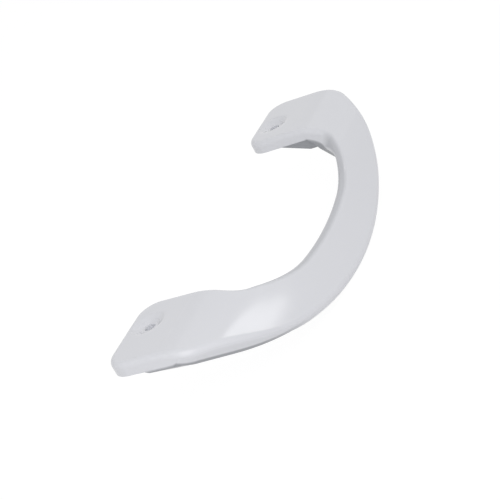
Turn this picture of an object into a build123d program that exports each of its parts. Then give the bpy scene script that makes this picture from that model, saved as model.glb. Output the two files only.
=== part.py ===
from build123d import *
from math import cos, sin, tan, radians
import os

# Side-mounted appliance door handle: one plastic moulding.
# Frame: origin midway between the two screws, on the face that lies against the door's side.
# +X points forward past the door's front, +Y along the handle, +Z out through the screw heads.

# Fixing
screw_spacing = 160.0
screw_hole_diameter = 4.5
dish_diameter = 14.0
dish_floor_diameter = 6.5
dish_depth = 1.9

# Feet
foot_thickness = 5.6
tip_ahead_of_screw = 9.6
foot_inner_margin = 16.8
foot_outer_margin = 25.5
tip_corner_radius = 9.2

# Outer face, seen along the handle's length: flat on the feet, a bend, flat again on the bow
bend_start_x = 14.2
bend_radius = 33.4
bend_angle = 60.0

# Outline of the outer face, seen from the direction that all its side walls run along
outline_angle = 50.0
bow_inner_drop = 37.5
bow_outer_drop = 57.4
inner_bow_reach = 25.0
inner_bow_slope = 7.0
inner_shoulder_gap = 7.1
inner_shoulder_slope = 34.0
inner_corner_radius = 9.0
outer_bow_reach = 54.0
outer_bow_slope = 18.0
outer_shoulder_gap = 16.6
outer_shoulder_slope = 40.0
outer_corner_radius = 12.0

# Back
door_corner_x = 20.3
arm_back_angle = 39.0
bow_edge_flat = 0.4
rib_width = 4.0
rib_back_angle = 46.0
rib_end_x = 33.5
grip_back_angle = 58.0
grip_back_reach = 26.2
grip_corner_radius = 14.0

# Keys under the feet, for the door's bevelled edge
key_start_x = 6.5
key_ramp_end_x = 19.5
key_depth = 5.4
key_inner_gap = 0.6
key_inner_draft = 12.0
key_outer_depth = 0.8
key_outer_draft = 57.0

# Softened edges
face_edge_radius = 2.4
grip_edge_radius = 1.6

# Sizes that follow from the ones above
half_spacing = screw_spacing / 2
inner_wall_y = half_spacing - foot_inner_margin
outer_wall_y = half_spacing + foot_outer_margin
past_all = screw_spacing
inner_shoulder_y = inner_wall_y - inner_shoulder_gap
outer_shoulder_y = outer_wall_y - outer_shoulder_gap
arm_slope = tan(radians(arm_back_angle))
rib_slope = tan(radians(rib_back_angle))
rib_y = inner_wall_y + rib_width
bow_slope = tan(radians(bend_angle))

# Two tangent arcs on each edge of the outline: the bow's, then the shoulder's
inner_bow_rise = sin(radians(inner_bow_slope))
inner_shoulder_rise = sin(radians(inner_shoulder_slope))
outer_bow_rise = sin(radians(outer_bow_slope))
outer_shoulder_rise = sin(radians(outer_shoulder_slope))
inner_bow_radius = inner_bow_reach / inner_bow_rise
inner_shoulder_radius = (inner_shoulder_y - inner_bow_reach) / (inner_shoulder_rise - inner_bow_rise)
outer_bow_radius = outer_bow_reach / outer_bow_rise
outer_shoulder_radius = (outer_shoulder_y - outer_bow_reach) / (outer_shoulder_rise - outer_bow_rise)

# Directions: out of the bow's face and down its width, the same for the outline and the grip's back
face_out = Vector(sin(radians(bend_angle)), 0, cos(radians(bend_angle)))
face_down = Vector(cos(radians(bend_angle)), 0, -sin(radians(bend_angle)))
trim_out = Vector(sin(radians(outline_angle)), 0, cos(radians(outline_angle)))
trim_down = Vector(cos(radians(outline_angle)), 0, -sin(radians(outline_angle)))
grip_down = Vector(cos(radians(grip_back_angle)), 0, -sin(radians(grip_back_angle)))
grip_out = Vector(sin(radians(grip_back_angle)), 0, cos(radians(grip_back_angle)))

# Corners of the section: end of the bend, lower end of the face, the back behind it, the arm's knee
bend_end_x = bend_start_x + bend_radius * sin(radians(bend_angle))
bend_end_z = foot_thickness - bend_radius * (1 - cos(radians(bend_angle)))
bend_end = Vector(bend_end_x, 0, bend_end_z)
face_length = (bow_outer_drop - bend_end.dot(trim_down)) / face_down.dot(trim_down)
face_end = bend_end + face_down * (face_length + foot_thickness)
bow_edge_thickness = face_edge_radius + bow_edge_flat
back_end = face_end - face_out * bow_edge_thickness
knee_x = (back_end.Z + back_end.X * bow_slope - door_corner_x * arm_slope) / (bow_slope - arm_slope)
knee_z = -(knee_x - door_corner_x) * arm_slope
rib_end_z = -(rib_end_x - door_corner_x) * rib_slope

# Corners of the keys' sections
key_end_x = door_corner_x + key_depth / arm_slope
key_root_z = foot_thickness / 4
key_inner_y = inner_wall_y + key_inner_gap
key_inner_foot_y = key_inner_y + key_depth * tan(radians(key_inner_draft))
key_outer_foot_y = outer_wall_y - (key_depth - key_outer_depth) * tan(radians(key_outer_draft))

# Outline of two feet joined by the bow, half of it drawn and mirrored
with BuildSketch(Plane(origin=(0, 0, 0), x_dir=(0, 1, 0), z_dir=trim_out)) as outline:
    with BuildLine():
        inner_bow = JernArc((0, -bow_inner_drop), (1, 0), inner_bow_radius, inner_bow_slope)
        inner_shoulder = JernArc(
            inner_bow @ 1, inner_bow % 1, inner_shoulder_radius, inner_shoulder_slope - inner_bow_slope
        )
        outer_bow = JernArc((0, -bow_outer_drop), (1, 0), outer_bow_radius, outer_bow_slope)
        outer_shoulder = JernArc(
            outer_bow @ 1, outer_bow % 1, outer_shoulder_radius, outer_shoulder_slope - outer_bow_slope
        )
        inner_from = inner_shoulder @ 1
        outer_from = outer_shoulder @ 1
        inner_climb = inner_shoulder_gap * tan(radians(inner_shoulder_slope))
        outer_climb = outer_shoulder_gap * tan(radians(outer_shoulder_slope))
        inner_corner = inner_from + Vector(inner_shoulder_gap, inner_climb)
        outer_corner = outer_from + Vector(outer_shoulder_gap, outer_climb)
        Polyline(
            inner_from,
            inner_corner,
            (inner_wall_y, bow_outer_drop),
            (outer_wall_y, bow_outer_drop),
            outer_corner,
            outer_from,
        )
        Line(inner_bow @ 0, outer_bow @ 0)
    make_face()
    fillet(outline.vertices().sort_by_distance(inner_corner)[0], radius=inner_corner_radius)
    fillet(outline.vertices().sort_by_distance(outer_corner)[0], radius=outer_corner_radius)
    mirror(about=Plane.YZ)

with BuildPart() as keys:
    # Ramp from under each foot down to the arm's back
    with BuildSketch(Plane.XZ):
        with BuildLine():
            Polyline(
                (key_start_x, 0),
                (key_ramp_end_x, -key_depth),
                (key_end_x, -key_depth),
                (key_end_x, key_root_z),
                (key_start_x, key_root_z),
                close=True,
            )
        make_face()
    extrude(amount=outer_wall_y, both=True)

    # Nearly upright inner side, and an outer side that slopes up to the foot's outer wall
    with BuildSketch(Plane.YZ):
        with BuildLine():
            Polyline(
                (key_inner_y, key_root_z),
                (key_inner_y, 0),
                (key_inner_foot_y, -key_depth),
                (key_outer_foot_y, -key_depth),
                (outer_wall_y, -key_outer_depth),
                (outer_wall_y, key_root_z),
                close=True,
            )
        make_face()
        mirror(about=Plane.YZ)
    extrude(amount=past_all, both=True, mode=Mode.INTERSECT)

    # Kept within the handle's outline
    extrude(outline.sketch, amount=past_all, both=True, mode=Mode.INTERSECT)

with BuildPart() as handle:
    # Section of feet, bend and bow, as wide as the handle is long
    with BuildSketch(Plane.XZ):
        with BuildLine():
            top = Line((-tip_ahead_of_screw, foot_thickness), (bend_start_x, foot_thickness))
            bend = JernArc(start=top @ 1, tangent=(1, 0), radius=bend_radius, arc_size=-bend_angle)
            Polyline(
                bend @ 1,
                (face_end.X, face_end.Z),
                (back_end.X, back_end.Z),
                (knee_x, knee_z),
                (door_corner_x, 0),
                (-tip_ahead_of_screw, 0),
                top @ 0,
            )
        make_face()
    extrude(amount=outer_wall_y, both=True)

    # Rib behind the arms, along their inner walls
    with BuildSketch(Plane.XZ):
        with BuildLine():
            Polyline((door_corner_x, 0), (rib_end_x, rib_end_z), (knee_x, knee_z), close=True)
        make_face()
    extrude(amount=rib_y, both=True)

    # Trimmed to the outline
    extrude(outline.sketch, amount=past_all, both=True, mode=Mode.INTERSECT)

    # Keys moulded on
    add(keys.part)

    # Rounded foot tips
    fillet(handle.edges().filter_by(Axis.Z).group_by(Axis.X)[0], radius=tip_corner_radius)

    # Softened edge all round the outer face
    fillet(handle.faces().sort_by(Axis.Z)[-1].edges(), radius=face_edge_radius)

    # Finger space behind the bow, an arch when seen along the bow's back
    with BuildSketch(Plane(origin=(0, 0, 0), x_dir=(0, 1, 0), z_dir=grip_down)):
        RectangleRounded(inner_wall_y * 2, grip_back_reach * 2, grip_corner_radius)
    extrude(amount=past_all, both=True, mode=Mode.SUBTRACT)

    # Softened upper edge of the grip's back, for the fingers
    grip_back = handle.faces().filter_by(Axis((0, 0, 0), grip_out)).sort_by(SortBy.AREA)[-1]
    fillet(
        grip_back.edges().filter_by(lambda edge: edge.center().Z > grip_back.center().Z),
        radius=grip_edge_radius,
    )

    # Dished screw holes
    with Locations((0, half_spacing, foot_thickness), (0, -half_spacing, foot_thickness)):
        Cone(
            bottom_radius=dish_floor_diameter / 2,
            top_radius=dish_diameter / 2,
            height=dish_depth,
            align=(Align.CENTER, Align.CENTER, Align.MAX),
            mode=Mode.SUBTRACT,
        )
        Hole(radius=screw_hole_diameter / 2)

handle.part.label = "door_handle"
os.makedirs("parts", exist_ok=True)
export_step(handle.part, "parts/door_handle.step")
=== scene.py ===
# %% [markdown]
# # A side-mounted door handle in glossy white plastic
#
# The real object is one injection moulding: two flat feet that are screwed to the side of an
# appliance door, two arms that turn round the door's corner, and a bow in front of it for the
# hand. Its whole shape is settled in the CAD model, so this lesson is about the finish, the light
# and the camera. Everything is in metres, in the CAD model's own frame: X points forward past the
# door, Y along the handle, and Z out of the door's side.

# %% Load the handle
import math
import bpy
import bmesh
from mathutils import Matrix, Vector


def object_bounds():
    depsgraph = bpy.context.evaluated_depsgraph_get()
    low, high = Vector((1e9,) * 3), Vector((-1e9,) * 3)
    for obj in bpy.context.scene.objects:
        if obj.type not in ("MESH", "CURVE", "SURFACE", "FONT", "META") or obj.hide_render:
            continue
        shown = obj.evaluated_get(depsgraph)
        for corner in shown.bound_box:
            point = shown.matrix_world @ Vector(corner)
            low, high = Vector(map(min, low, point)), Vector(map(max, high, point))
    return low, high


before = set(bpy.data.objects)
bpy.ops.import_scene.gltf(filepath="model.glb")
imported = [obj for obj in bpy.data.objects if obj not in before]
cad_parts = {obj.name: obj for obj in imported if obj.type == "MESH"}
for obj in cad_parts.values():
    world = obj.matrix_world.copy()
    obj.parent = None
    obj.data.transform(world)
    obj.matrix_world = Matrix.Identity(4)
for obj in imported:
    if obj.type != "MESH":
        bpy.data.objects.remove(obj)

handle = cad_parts["door_handle"]
cad_low, cad_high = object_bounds()
centre = (cad_low + cad_high) / 2
print("handle box, mm:", [round(1000 * v, 1) for v in (*cad_low, *cad_high)])

# %% [markdown]
# ## Writing shader maths as Python
#
# A plastic surface needs several small patterns added and multiplied together. Wiring that by
# hand hides the sums, so one small class wraps a node's socket and lets Python's own operators
# make the Math nodes. Any other node comes from one method that takes its type, its settings and
# the values of its sockets. A mask is a number between 0 and 1, and most masks here rise evenly
# from one value to another, which is what `rise` is for.

# %% A socket that understands sums
class Wire:
    def __init__(self, tree, socket):
        self.tree = tree
        self.socket = socket

    def sum_node(self, operation, first, second=None):
        inputs = {0: first} if second is None else {0: first, 1: second}
        return Bench(self.tree).node("ShaderNodeMath", {"operation": operation}, inputs)[0]

    def __add__(self, other):
        return self.sum_node("ADD", self, other)

    def __radd__(self, other):
        return self.sum_node("ADD", other, self)

    def __sub__(self, other):
        return self.sum_node("SUBTRACT", self, other)

    def __rsub__(self, other):
        return self.sum_node("SUBTRACT", other, self)

    def __mul__(self, other):
        return self.sum_node("MULTIPLY", self, other)

    def __rmul__(self, other):
        return self.sum_node("MULTIPLY", other, self)

    def __truediv__(self, other):
        return self.sum_node("DIVIDE", self, other)

    def __pow__(self, other):
        return self.sum_node("POWER", self, other)

    def __neg__(self):
        return self * -1

    def size(self):
        """The number without its sign."""
        return self.sum_node("ABSOLUTE", self)

    def at_least(self, other):
        return self.sum_node("MAXIMUM", self, other)

    def at_most(self, other):
        return self.sum_node("MINIMUM", self, other)

    def rise(self, start, end):
        """A mask: 0 up to start, 1 from end on, and even in between. End may be below start."""
        return ((self - start) / (end - start)).at_least(0.0).at_most(1.0)


class Bench:
    """Puts nodes into one node tree."""

    def __init__(self, tree):
        self.tree = tree

    def node(self, kind, settings, inputs):
        made = self.tree.nodes.new(kind)
        for name, value in settings.items():
            setattr(made, name, value)
        for name, value in inputs.items():
            if isinstance(value, Wire):
                self.tree.links.new(value.socket, made.inputs[name])
            else:
                made.inputs[name].default_value = value
        return [Wire(self.tree, out) for out in made.outputs if out.enabled]


print("shader tools ready")


# %% Three short cuts
def empty_bench(owner):
    """Clears the nodes of a material or a world and gives a bench to fill them again."""
    owner.use_nodes = True
    owner.node_tree.nodes.clear()
    return Bench(owner.node_tree)


def mixed(bench, share, first, second):
    """The first colour where the mask is 0, the second where it is 1."""
    inputs = {"Factor": share, 6: first, 7: second}
    return bench.node("ShaderNodeMix", {"data_type": "RGBA"}, inputs)[-1]


def seen_white(bench):
    """1 for light that the camera sees, also in gloss and through glass, and 0 for the rest."""
    path = bench.node("ShaderNodeLightPath", {}, {})
    by_camera, in_gloss, through_glass = path[0], path[3], path[6]
    return by_camera.at_least(in_gloss).at_least(through_glass)


print("short cuts ready")

# %% [markdown]
# ## Where things are on the moulding
#
# Several details belong to a place: the dishes round the screws, the narrow painted shade where
# the walls meet the back, the faces that lie against the door. Painting them by hand would need
# an unwrapped mesh. Because the handle sits in the CAD model's own frame, its Object coordinates
# are real metres, so each place can be worked out from x, y and z instead. The direction that the
# surface faces comes from the Geometry node.

# %% Places worked out from the handle's own coordinates
SCREW_Y = 0.080
FOOT_TOP_LOW, FOOT_TOP_HIGH = 0.003, 0.004
DOOR_CORNER_X = 0.0203
BACK_ANGLE = math.radians(39)

plastic = bpy.data.materials.new("white_moulded_plastic")
bench = empty_bench(plastic)

place = bench.node("ShaderNodeTexCoord", {}, {})[3]
x, y, z = bench.node("ShaderNodeSeparateXYZ", {}, {"Vector": place})
facing = bench.node("ShaderNodeNewGeometry", {}, {})[1]
facing_x, facing_y, facing_z = bench.node("ShaderNodeSeparateXYZ", {}, {"Vector": facing})

from_screw = (x * x + (y.size() - SCREW_Y) ** 2) ** 0.5
on_foot_top = z.rise(FOOT_TOP_LOW, FOOT_TOP_HIGH)
above_slope = z * math.cos(BACK_ANGLE) + (x - DOOR_CORNER_X) * math.sin(BACK_ANGLE)
above_back = z.at_least(above_slope)
print("places ready:", len(plastic.node_tree.nodes), "nodes")

# %% [markdown]
# ## The skin: dishes, polish and waviness
#
# The core pin that shapes each dish is turned on a lathe, so its rim is broken with a soft
# radius, there is a low step where a screw cap would seat, and very fine turning rings are left
# in the dish. The rest of the mould is polished by hand, which leaves a waviness far finer than
# a tenth of a millimetre. All of them are heights in metres, added up and given to one Bump node
# with a distance of 1, so that what is written is what is felt. The dishes themselves are real
# geometry. Only their finest detail is bump.

# %% Heights of the skin, in metres
DISH_RADIUS = 0.007
DISH_EDGE = 0.00025
RIM_SOFTNESS = 0.0018
RIM_DROP = 0.00022
STEP_RADIUS = 0.0047
STEP_SOFTNESS = 0.0008
STEP_RISE = 0.00007
TURNING_PITCH = 0.0005236
TURNING_HEIGHT = 0.000002
WAVE_SCALE = 160.0
WAVE_HEIGHT = 0.000002

near_rim = (from_screw - DISH_RADIUS).size().rise(RIM_SOFTNESS, 0.0)
near_step = (from_screw - STEP_RADIUS).size().rise(STEP_SOFTNESS, 0.0)
in_dish = from_screw.rise(DISH_RADIUS, DISH_RADIUS - DISH_EDGE)
turns = from_screw * (2 * math.pi / TURNING_PITCH)
rings = bench.node("ShaderNodeMath", {"operation": "SINE"}, {0: turns})[0]
wave_look = {"Vector": place, "Scale": WAVE_SCALE, "Detail": 1.0}
waviness = bench.node("ShaderNodeTexNoise", {}, wave_look)[0]

rim_and_step = near_step ** 2 * STEP_RISE - near_rim ** 2 * RIM_DROP
dish_height = rim_and_step + in_dish * rings * TURNING_HEIGHT
height = on_foot_top * dish_height + waviness * WAVE_HEIGHT
bump_look = {"Height": height, "Strength": 1.0, "Distance": 1.0}
skin = bench.node("ShaderNodeBump", {}, bump_look)[0]
print("skin ready:", len(plastic.node_tree.nodes), "nodes")

# %% [markdown]
# ## A white that drifts
#
# Moulded plastic for white goods is a slightly cool white. It drifts by a hair from place to
# place, as the melt cools at different speeds. One flat colour would look like paint on a screen,
# so a large soft noise mixes two whites that are close together.

# %% The white
WHITE_COOL = (0.70, 0.708, 0.748, 1)
WHITE_WARM = (0.725, 0.731, 0.768, 1)
# Grey of the painted shade on the lower edge and on the inner side.
PAINTED_SHADE_GREY = (0.20, 0.21, 0.23, 1)
DRIFT_SCALE = 22.0

drift_look = {"Vector": place, "Scale": DRIFT_SCALE, "Detail": 2.0}
drift = bench.node("ShaderNodeTexNoise", {}, drift_look)[0]
white = mixed(bench, drift, WHITE_COOL, WHITE_WARM)
print("white ready")

# %% [markdown]
# ## The painted shade along the lower edge
#
# The side walls end below in a thin dark line of shade, and the key under the far foot shows a
# separate dark facet in shade. The pale floor here gives neither, so both are painted shade: a
# dark grey mixed in on faces that look sideways, past the foot's tip, within a small height above
# the back. On the real part that may be a shadow or a dark reflection. The pale floor here gives
# neither, so both are a dull tint: on faces that look sideways, past the foot's tip, within a
# small height above the back. The line is narrow on the feet and wider along the arms, and it
# fades out before the bow.

# %% Painted shade along the lower edge
FOOT_LINE = 0.0004
ARM_LINE = 0.0022
LINE_FADE = 0.0009
LINE_SHADE = 0.75

on_side = facing_y.size().rise(0.25, 0.45)
past_tip = x.rise(0.0040, 0.0073)
on_arm = x.rise(0.0190, 0.0267)
before_bow = x.rise(0.0560, 0.0393)
line_height = FOOT_LINE + on_arm * (ARM_LINE - FOOT_LINE)
in_line = (line_height - above_back).rise(0.0, LINE_FADE)
# Painted shade: a dark grey line where the side walls meet the back, and on the key's facet.
painted_lower_shade = in_line * on_side * past_tip * before_bow
white_with_lower_shade = mixed(bench, painted_lower_shade * LINE_SHADE, white, PAINTED_SHADE_GREY)
print("lower line, mm:", 1000 * FOOT_LINE, "to", 1000 * ARM_LINE)

# %% [markdown]
# ## The shaded inner side
#
# The walls on the hand's side are in shade, and the rounding that leads to them darkens quickly.
# The open, pale surround here can't shade them as much, so a part of that shade is painted: a
# dark grey is mixed into the colour. It has to start where the outer face ends. That face turns
# with x, flat on the feet and then round the bend, so its turn towards the inner side is known at
# every x.
# The painted shade grows with how far the surface has turned past it, and touches the bow's back
# a little too.

# %% Painted shade on the inner side
BEND_START_X = 0.0142
BEND_RADIUS = 0.0334
BEND_ANGLE = math.radians(60)
OUTLINE_ANGLE = math.radians(50)
INNER_SHADE = 0.35

towards_z, towards_x = math.sin(OUTLINE_ANGLE), -math.cos(OUTLINE_ANGLE)
lean = ((x - BEND_START_X) / BEND_RADIUS).at_least(0.0).at_most(math.sin(BEND_ANGLE))
face_turn = (1 - lean * lean) ** 0.5 * towards_z + lean * towards_x
own_turn = facing_z * towards_z + facing_x * towards_x
painted_inner_shade = (own_turn - face_turn).rise(0.05, 0.55)
# Painted shade: dark grey mixed in where the surface turns towards the inner side.
colour = mixed(bench, painted_inner_shade * INNER_SHADE, white_with_lower_shade, PAINTED_SHADE_GREY)
print("inner side ready")

# %% [markdown]
# ## Polish, handling and the matt half
#
# The mould's outer half is polished, so the plastic is glossy. Hands dull the grip a little, in
# patches, which a fine noise gives. The faces against the door come from the mould's other half,
# which is left unpolished, so what faces down is matt. All of that is roughness. The gloss itself
# comes from the shader's index of refraction, which is the same everywhere.

# %% Roughness and the shader
POLISH = 0.07
HANDLED = 0.02
GRIP_HANDLED = 0.02
MATT = 0.25
HANDLING_SCALE = 60.0
PLASTIC_IOR = 1.5

handling_look = {"Vector": place, "Scale": HANDLING_SCALE, "Detail": 6.0}
handling = bench.node("ShaderNodeTexNoise", {}, handling_look)[0]
on_grip = y.size().rise(0.055, 0.030)
matt_half = (-facing_z).rise(0.0, 0.25)
roughness = POLISH + handling * (HANDLED + on_grip * GRIP_HANDLED) + matt_half * MATT

shader_look = {"Base Color": colour, "Roughness": roughness, "IOR": PLASTIC_IOR, "Normal": skin}
surface = bench.node("ShaderNodeBsdfPrincipled", {}, shader_look)[0]
bench.node("ShaderNodeOutputMaterial", {}, {"Surface": surface})
print("plastic nodes:", len(plastic.node_tree.nodes))

# %% Dress the handle
for slot in handle.material_slots:
    slot.material = plastic
print("slots dressed:", len(handle.material_slots))

# %% [markdown]
# ## Floor and backdrop
#
# The photograph is a product shot on pure white. The floor is a plain sheet just under the
# handle. To the camera, and in reflections, it is mostly glowing white paper that still keeps a
# soft shadow. To all other light it is an ordinary pale surface, so it doesn't flood the handle
# from below.

# %% The floor's sheet
FLOOR_GAP = 0.0005
FLOOR_REACH = 3.0

floor_z = cad_low.z - FLOOR_GAP
floor_mesh = bpy.data.meshes.new("floor")
floor_form = bmesh.new()
bmesh.ops.create_grid(floor_form, x_segments=1, y_segments=1, size=FLOOR_REACH)
bmesh.ops.translate(floor_form, verts=floor_form.verts, vec=(0, 0, floor_z))
floor_form.to_mesh(floor_mesh)
floor_form.free()
floor = bpy.data.objects.new("floor", floor_mesh)
bpy.context.scene.collection.objects.link(floor)
print("floor at z, mm:", round(1000 * floor_z, 2))

# %% White paper that keeps a shadow
PAPER_GREY = (0.85, 0.85, 0.85, 1)
PAPER_WHITE = (1, 1, 1, 1)
PAPER_GLOW = 1.08
GLOW_SHARE = 0.85

paper = bpy.data.materials.new("white_floor_paper")
bench = empty_bench(paper)
pale = bench.node("ShaderNodeBsdfDiffuse", {}, {"Color": PAPER_GREY})[0]
glow_look = {"Color": PAPER_WHITE, "Strength": PAPER_GLOW}
glow = bench.node("ShaderNodeEmission", {}, glow_look)[0]
sheet_look = {0: seen_white(bench) * GLOW_SHARE, 1: pale, 2: glow}
sheet = bench.node("ShaderNodeMixShader", {}, sheet_look)[0]
bench.node("ShaderNodeOutputMaterial", {}, {"Surface": sheet})
floor_mesh.materials.append(paper)
print("paper nodes:", len(paper.node_tree.nodes))

# %% [markdown]
# ## The camera
#
# The photograph looks along the handle from the near foot, from above and in front, with the
# camera rolled. Its place and turn were worked out by matching the two feet, the screw holes and
# the outlines, so they are given here as a place and three directions. The lens is written for a
# full frame, 36 mm wide.

# %% Camera at the photograph's angle
camera_data = bpy.data.cameras.new("camera")
camera_data.sensor_width = 36.0
camera_data.lens = 105.36
camera = bpy.data.objects.new("camera", camera_data)
bpy.context.scene.collection.objects.link(camera)
to_right = Vector((0.84547935, 0.30410757, -0.43895701))
to_top = Vector((0.23215665, 0.53093717, 0.81499019))
to_back = Vector((0.48090328, -0.79096417, 0.37829582))
camera_place = Vector((0.30074, -0.48518, 0.21735))
turn = Matrix((to_right, to_top, to_back)).transposed()
camera.matrix_world = Matrix.Translation(camera_place) @ turn.to_4x4()
bpy.context.scene.camera = camera
print("camera", round(1000 * (camera_place - centre).length), "mm from the handle")

# %% [markdown]
# ## The even surround
#
# Shaded sides of a white object go grey and dirty under a few lamps alone. An even pale surround
# fills them. It gives a little over half of white as light, and full white where the camera or a
# reflection sees it, so the backdrop is pure white without more light on the handle.

# %% The surround
SURROUND_LIGHT = 0.60

world = bpy.data.worlds.new("studio")
bpy.context.scene.world = world
bench = empty_bench(world)
strength = SURROUND_LIGHT + seen_white(bench) * (1 - SURROUND_LIGHT)
surround_look = {"Color": (1, 1, 1, 1), "Strength": strength}
surround = bench.node("ShaderNodeBackground", {}, surround_look)[0]
bench.node("ShaderNodeOutputWorld", {}, {"Surface": surround})
print("surround light:", SURROUND_LIGHT)

# %% [markdown]
# ## Soft boxes
#
# Glossy plastic shows its light sources, so each lamp is placed for its reflection as much as for
# its light. Large square soft boxes leave no hard edge. One is above, one by the camera and one
# low in front, so that the face, its rounding and the side wall come out nearly alike. Three
# behind lighten the faces that turn away. How strong each is was first worked out from renders
# with one lamp at a time, set against the photograph's greys, and then adjusted.


# %% Square lamps round the handle
def soft_box(name, middle, towards, along, length, width, watts):
    """A rectangular lamp whose long side lies along a direction, turned to face a point."""
    lamp = bpy.data.lights.new(name, "AREA")
    lamp.shape = "RECTANGLE"
    lamp.size = length
    lamp.size_y = width
    lamp.energy = watts
    back = (middle - towards).normalized()
    across = back.cross(along).normalized()
    side = across.cross(back).normalized()
    turn = Matrix((side, across, back)).transposed()
    placed = bpy.data.objects.new(name, lamp)
    placed.matrix_world = Matrix.Translation(middle) @ turn.to_4x4()
    bpy.context.scene.collection.objects.link(placed)


BOX_ALONG = Vector((0.3, 0.9, 0.1))
# name, direction from the handle, distance, side, watts
for name, way, away, side, watts in (
    ("above", (0.46, -0.56, 0.69), 0.75, 0.55, 1.22),
    ("by_camera", (0.517, -0.674, 0.528), 0.70, 0.45, 0.36),
    ("low_front", (0.25, -0.93, 0.25), 0.70, 0.40, 0.46),
    ("behind_wide", (0.046, 0.781, 0.623), 1.40, 0.95, 0.55),
    ("behind_narrow", (0.046, 0.781, 0.623), 1.40, 0.60, 0.30),
    ("behind_right", (0.600, 0.728, 0.335), 1.40, 0.80, 0.15),
):
    middle = centre + away * Vector(way).normalized()
    soft_box(name, middle, centre, BOX_ALONG, side, side, watts)
    print("soft box", name, watts, "W")

# %% [markdown]
# ## The strip light behind
#
# The bright patch on the bend of the near arm is the reflection of a long narrow light behind the
# handle. The bend squeezes what it reflects, so a straight lamp gives a patch whose shape follows
# from where the lamp lies. The light is four strips end to end, each turned a little from the one
# before, which bends the patch as in the photograph. Their watts follow from their area, so that
# all four glow alike.

# %% Four strips, end to end
STRIP_AWAY = 0.70
STRIP_GLOW = 2.7
strip_aim = Vector((0.0395, -0.0792, -0.0061))
strip_way = Vector((0.4865, 0.7654, 0.4212))
strip_run = Vector((0.6546, 0.0, -0.7560))
strip_side = Vector((-0.5787, 0.6435, -0.5010))
# name, place along the run, place beside it, tilt, length, width
for name, along, beside, tilt, length, width in (
    ("strip_start", -0.145, 0.000, 0.00, 0.190, 0.036),
    ("strip_middle", 0.005, -0.001, 0.05, 0.112, 0.042),
    ("strip_bend", 0.095, 0.014, 0.22, 0.072, 0.040),
    ("strip_end", 0.157, 0.033, 0.32, 0.056, 0.034),
):
    middle = strip_aim + STRIP_AWAY * strip_way + along * strip_run + beside * strip_side
    watts = math.pi * length * width * STRIP_GLOW
    soft_box(name, middle, strip_aim, strip_run + tilt * strip_side, length, width, watts)
    print("strip", name, round(watts, 4), "W")

# %% [markdown]
#
# The Standard view shows colours as they are written, without a film curve. The finish adds no
# shape.

# %% View
bpy.context.scene.view_settings.view_transform = "Standard"
